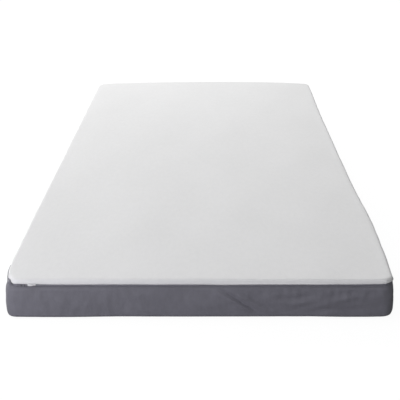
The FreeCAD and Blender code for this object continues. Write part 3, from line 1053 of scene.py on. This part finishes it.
hem_inset = BAND_INSET - 0.1 * MM + smoothed(PATH, band_pull(PATH)) - band_belly(PATH, 0.64)
hem_line = PATH.at(hem_inset, TOP_CORNERS)
top_stitches = stitch_row("top_hem_stitches", hem_line, band_edge(PATH) + 2.6 * MM)
paint(top_stitches, simple_cloth("thread_pale", (0.72, 0.725, 0.73), 0.6 * MM, 0.6))
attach(top_stitches, "cover_top")

dark_thread = simple_cloth("thread_dark", tint(BORDER_COLOUR, 0.8), 0.6 * MM, 0.6)
seam_height = BORDER_TOP - 3.2 * MM
seam_share = EDGE_SHARE * float(step(seam_height, BORDER_TOP - EDGE_TURN, BORDER_TOP))
seam_wrap = wrap_line(PATH, curve_inset(BORDER_CURVE, seam_height) - folds(PATH, seam_height))
seam_zip = zip_line(PATH, curve_inset(BORDER_CURVE, BORDER_TOP))
edge_seam = seam_wrap + (seam_zip - seam_wrap) * seam_share
edge_stitches = stitch_row("border_edge_stitches", edge_seam, seam_height)
base_stitches = stitch_row("base_seam_stitches", PATH.at(RETURN_INSET + 5 * MM), -0.05 * MM)
for obj in (edge_stitches, base_stitches):
    paint(obj, dark_thread)
    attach(obj, "cover_base")

# ---------------- foam core

firm = foam_material("foam_firm_grey", (0.55, 0.57, 0.60))
wall = foam_material("foam_wall_blue", (0.26, 0.42, 0.60))
middle = foam_material("foam_support_cream", (0.80, 0.77, 0.66))
comfort = foam_material("foam_comfort_yellow", (0.86, 0.78, 0.52), 0.9 * MM, 0.4)


def zone_slits(node, count, pitch):
    """Crosswise slit places in a comfort zone."""
    low, high = box_of(node)
    return spread(count, pitch, (low[1] + high[1]) / 2)


LENGTH_SLITS = spread(8, 98 * MM)
SUPPORT_CUTS = {"y_slits": spread(11, 150 * MM), "half_slit": 6 * MM, "depth": 8 * MM}
SHOULDER_CUTS = {"x_slits": LENGTH_SLITS, "y_slits": zone_slits("comfort_foam_shoulder", 6, 98 * MM)}
SEAT_CUTS = {"x_slits": LENGTH_SLITS, "y_slits": zone_slits("comfort_foam_seat", 9, 70 * MM)}
HEEL_CUTS = {"y_slits": zone_slits("comfort_foam_heel", 11, 50 * MM)}
foams = [
    ("foam_base_slab", "base_foam", firm, "firm_foam", {}),
    ("foam_wall_left", "side_bolster_left", wall, "wall_foam", {}),
    ("foam_wall_right", "side_bolster_right", wall, "wall_foam", {}),
    ("foam_wall_head", "head_bolster", wall, "wall_foam", {}),
    ("foam_wall_foot", "foot_bolster", wall, "wall_foam", {}),
    ("foam_support_slab", "support_foam", middle, "support_foam", SUPPORT_CUTS),
    ("foam_comfort_shoulder_zone", "comfort_foam_shoulder", comfort, "comfort_foam", SHOULDER_CUTS),
    ("foam_comfort_seat_zone", "comfort_foam_seat", comfort, "comfort_foam", SEAT_CUTS),
    ("foam_comfort_heel_zone", "comfort_foam_heel", comfort, "comfort_foam", HEEL_CUTS),
]
for grain, (name, node, mat, slot, cuts) in enumerate(foams, 32):
    obj = foam_block(name, node, grain, slot == "comfort_foam", **cuts)
    paint(obj, mat)
    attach(obj, "foam_core")
    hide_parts(node)

# ---------------- floor, light and camera

FLOOR_REACH = 40.0
FLOOR_Z = -0.5 * MM


def stage_floor(shown, given):
    """A plain pale floor: what the camera sees, and the softer light that it throws back."""
    plan = ((-1, -1), (1, -1), (1, 1), (-1, 1))
    mesh = bpy.data.meshes.new("stage_floor")
    mesh.from_pydata([(FLOOR_REACH * x, FLOOR_REACH * y, FLOOR_Z) for x, y in plan], [], [(0, 1, 2, 3)])
    floor = linked("stage_floor", mesh)
    mat = bpy.data.materials.new("stage_floor_white")
    nodes = Nodes(mat, "OutputMaterial")
    rays = nodes.add("LightPath", {})
    inputs = {"Factor": rays.outputs["Is Camera Ray"], "A": given, "B": shown}
    level = nodes.add("Mix", inputs, data_type="FLOAT")
    glow = nodes.add("Emission", {"Strength": level.outputs["Result"]})
    matt = nodes.add("BsdfDiffuse", {"Color": (0.1, 0.1, 0.1, 1)})
    both = nodes.add("AddShader", {0: glow.outputs[0], 1: matt.outputs[0]})
    nodes.feed(nodes.out, {"Surface": both.outputs[0]})
    mesh.materials.append(mat)
    floor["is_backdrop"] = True


def soft_light(name, place, target, size_x, size_y, power, colour):
    """A soft rectangular studio light aimed at a point."""
    data = bpy.data.lights.new(name, "AREA")
    data.shape = "RECTANGLE"
    data.size, data.size_y = size_x, size_y
    data.energy = power
    data.color = colour
    obj = linked(name, data)
    obj.location = place
    obj.rotation_mode = "QUATERNION"
    obj.rotation_quaternion = (Vector(target) - Vector(place)).to_track_quat("-Z", "Y")


def surroundings(shown, given):
    """White surroundings: what the camera sees, and the softer light that they give."""
    world = bpy.data.worlds.new("studio")
    nodes = Nodes(world, "OutputWorld")
    rays = nodes.add("LightPath", {})
    light, seen = (nodes.add("Background", {"Strength": level}).outputs[0] for level in (given, shown))
    mix = nodes.add("MixShader", {"Fac": rays.outputs["Is Camera Ray"], 1: light, 2: seen})
    nodes.feed(nodes.out, {"Surface": mix.outputs[0]})
    bpy.context.scene.world = world


FLOOR_SHOWN, FLOOR_LIGHT = 0.94, 0.10
WORLD_SHOWN, WORLD_LIGHT = 1.3, 0.33
WHITE = (1.0, 1.0, 1.0)
COOL = (0.972, 0.965, 1.03)
# Name, place, aim, width and height in metres, power in watts and colour.
LIGHTS = [
    ("back", (0.0, 3.6, 2.2), (0.0, 0.0, 0.0), 2.6, 1.6, 68.0, WHITE),
    ("far_left", (-4.5, 4.2, 2.7), (0.0, 0.2, 0.0), 2.4, 2.4, 190.0, WHITE),
    ("overhead", (-0.9, -0.3, 3.4), (-0.1, 0.0, 0.0), 2.5, 3.0, 37.0, WHITE),
    ("left", (-3.4, -0.4, 1.3), (0.0, -0.2, 0.0), 2.0, 1.6, 15.0, WHITE),
    ("front_left", (-2.6, -3.4, 0.6), (0.0, -0.8, 0.0), 1.6, 0.8, 16.0, COOL),
    ("mid_front", (-1.3, -3.6, 0.5), (-0.2, -1.0, 0.05), 1.4, 0.8, 29.0, COOL),
    ("near_front", (-0.78, -1.7, 0.28), (-0.35, -1.0, 0.05), 0.5, 0.4, 1.6, COOL),
]

stage_floor(FLOOR_SHOWN, FLOOR_LIGHT)
surroundings(WORLD_SHOWN, WORLD_LIGHT)
for light in LIGHTS:
    soft_light(*light)

FOCAL_PIXELS = 918.9
IMAGE_PIXELS = 400
SENSOR = 36.0
camera_data = bpy.data.cameras.new("camera")
camera_data.sensor_width = SENSOR
camera_data.lens = FOCAL_PIXELS / IMAGE_PIXELS * SENSOR
camera = linked("camera", camera_data)


def aim(obj, place, yaw, pitch, roll):
    """Camera from a place and angles in degrees; yaw 0 looks along +Y, pitch is downwards."""
    yaw, pitch, roll = (math.radians(a) for a in (yaw, pitch, roll))
    level = Vector((math.sin(yaw), math.cos(yaw), 0)) * math.cos(pitch)
    forward = level - Vector((0, 0, math.sin(pitch)))
    right = Vector((math.cos(yaw), -math.sin(yaw), 0))
    up = right.cross(forward)
    turned_right = right * math.cos(roll) + up * math.sin(roll)
    turned_up = up * math.cos(roll) - right * math.sin(roll)
    matrix = Matrix((turned_right, turned_up, -forward)).transposed().to_4x4()
    matrix.translation = Vector(place)
    obj.matrix_world = matrix


aim(camera, (0.0223, -2.8794, 0.9679), -0.594, 19.943, -0.318)
bpy.context.scene.camera = camera
bpy.context.scene.view_settings.view_transform = "Standard"

low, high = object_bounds()
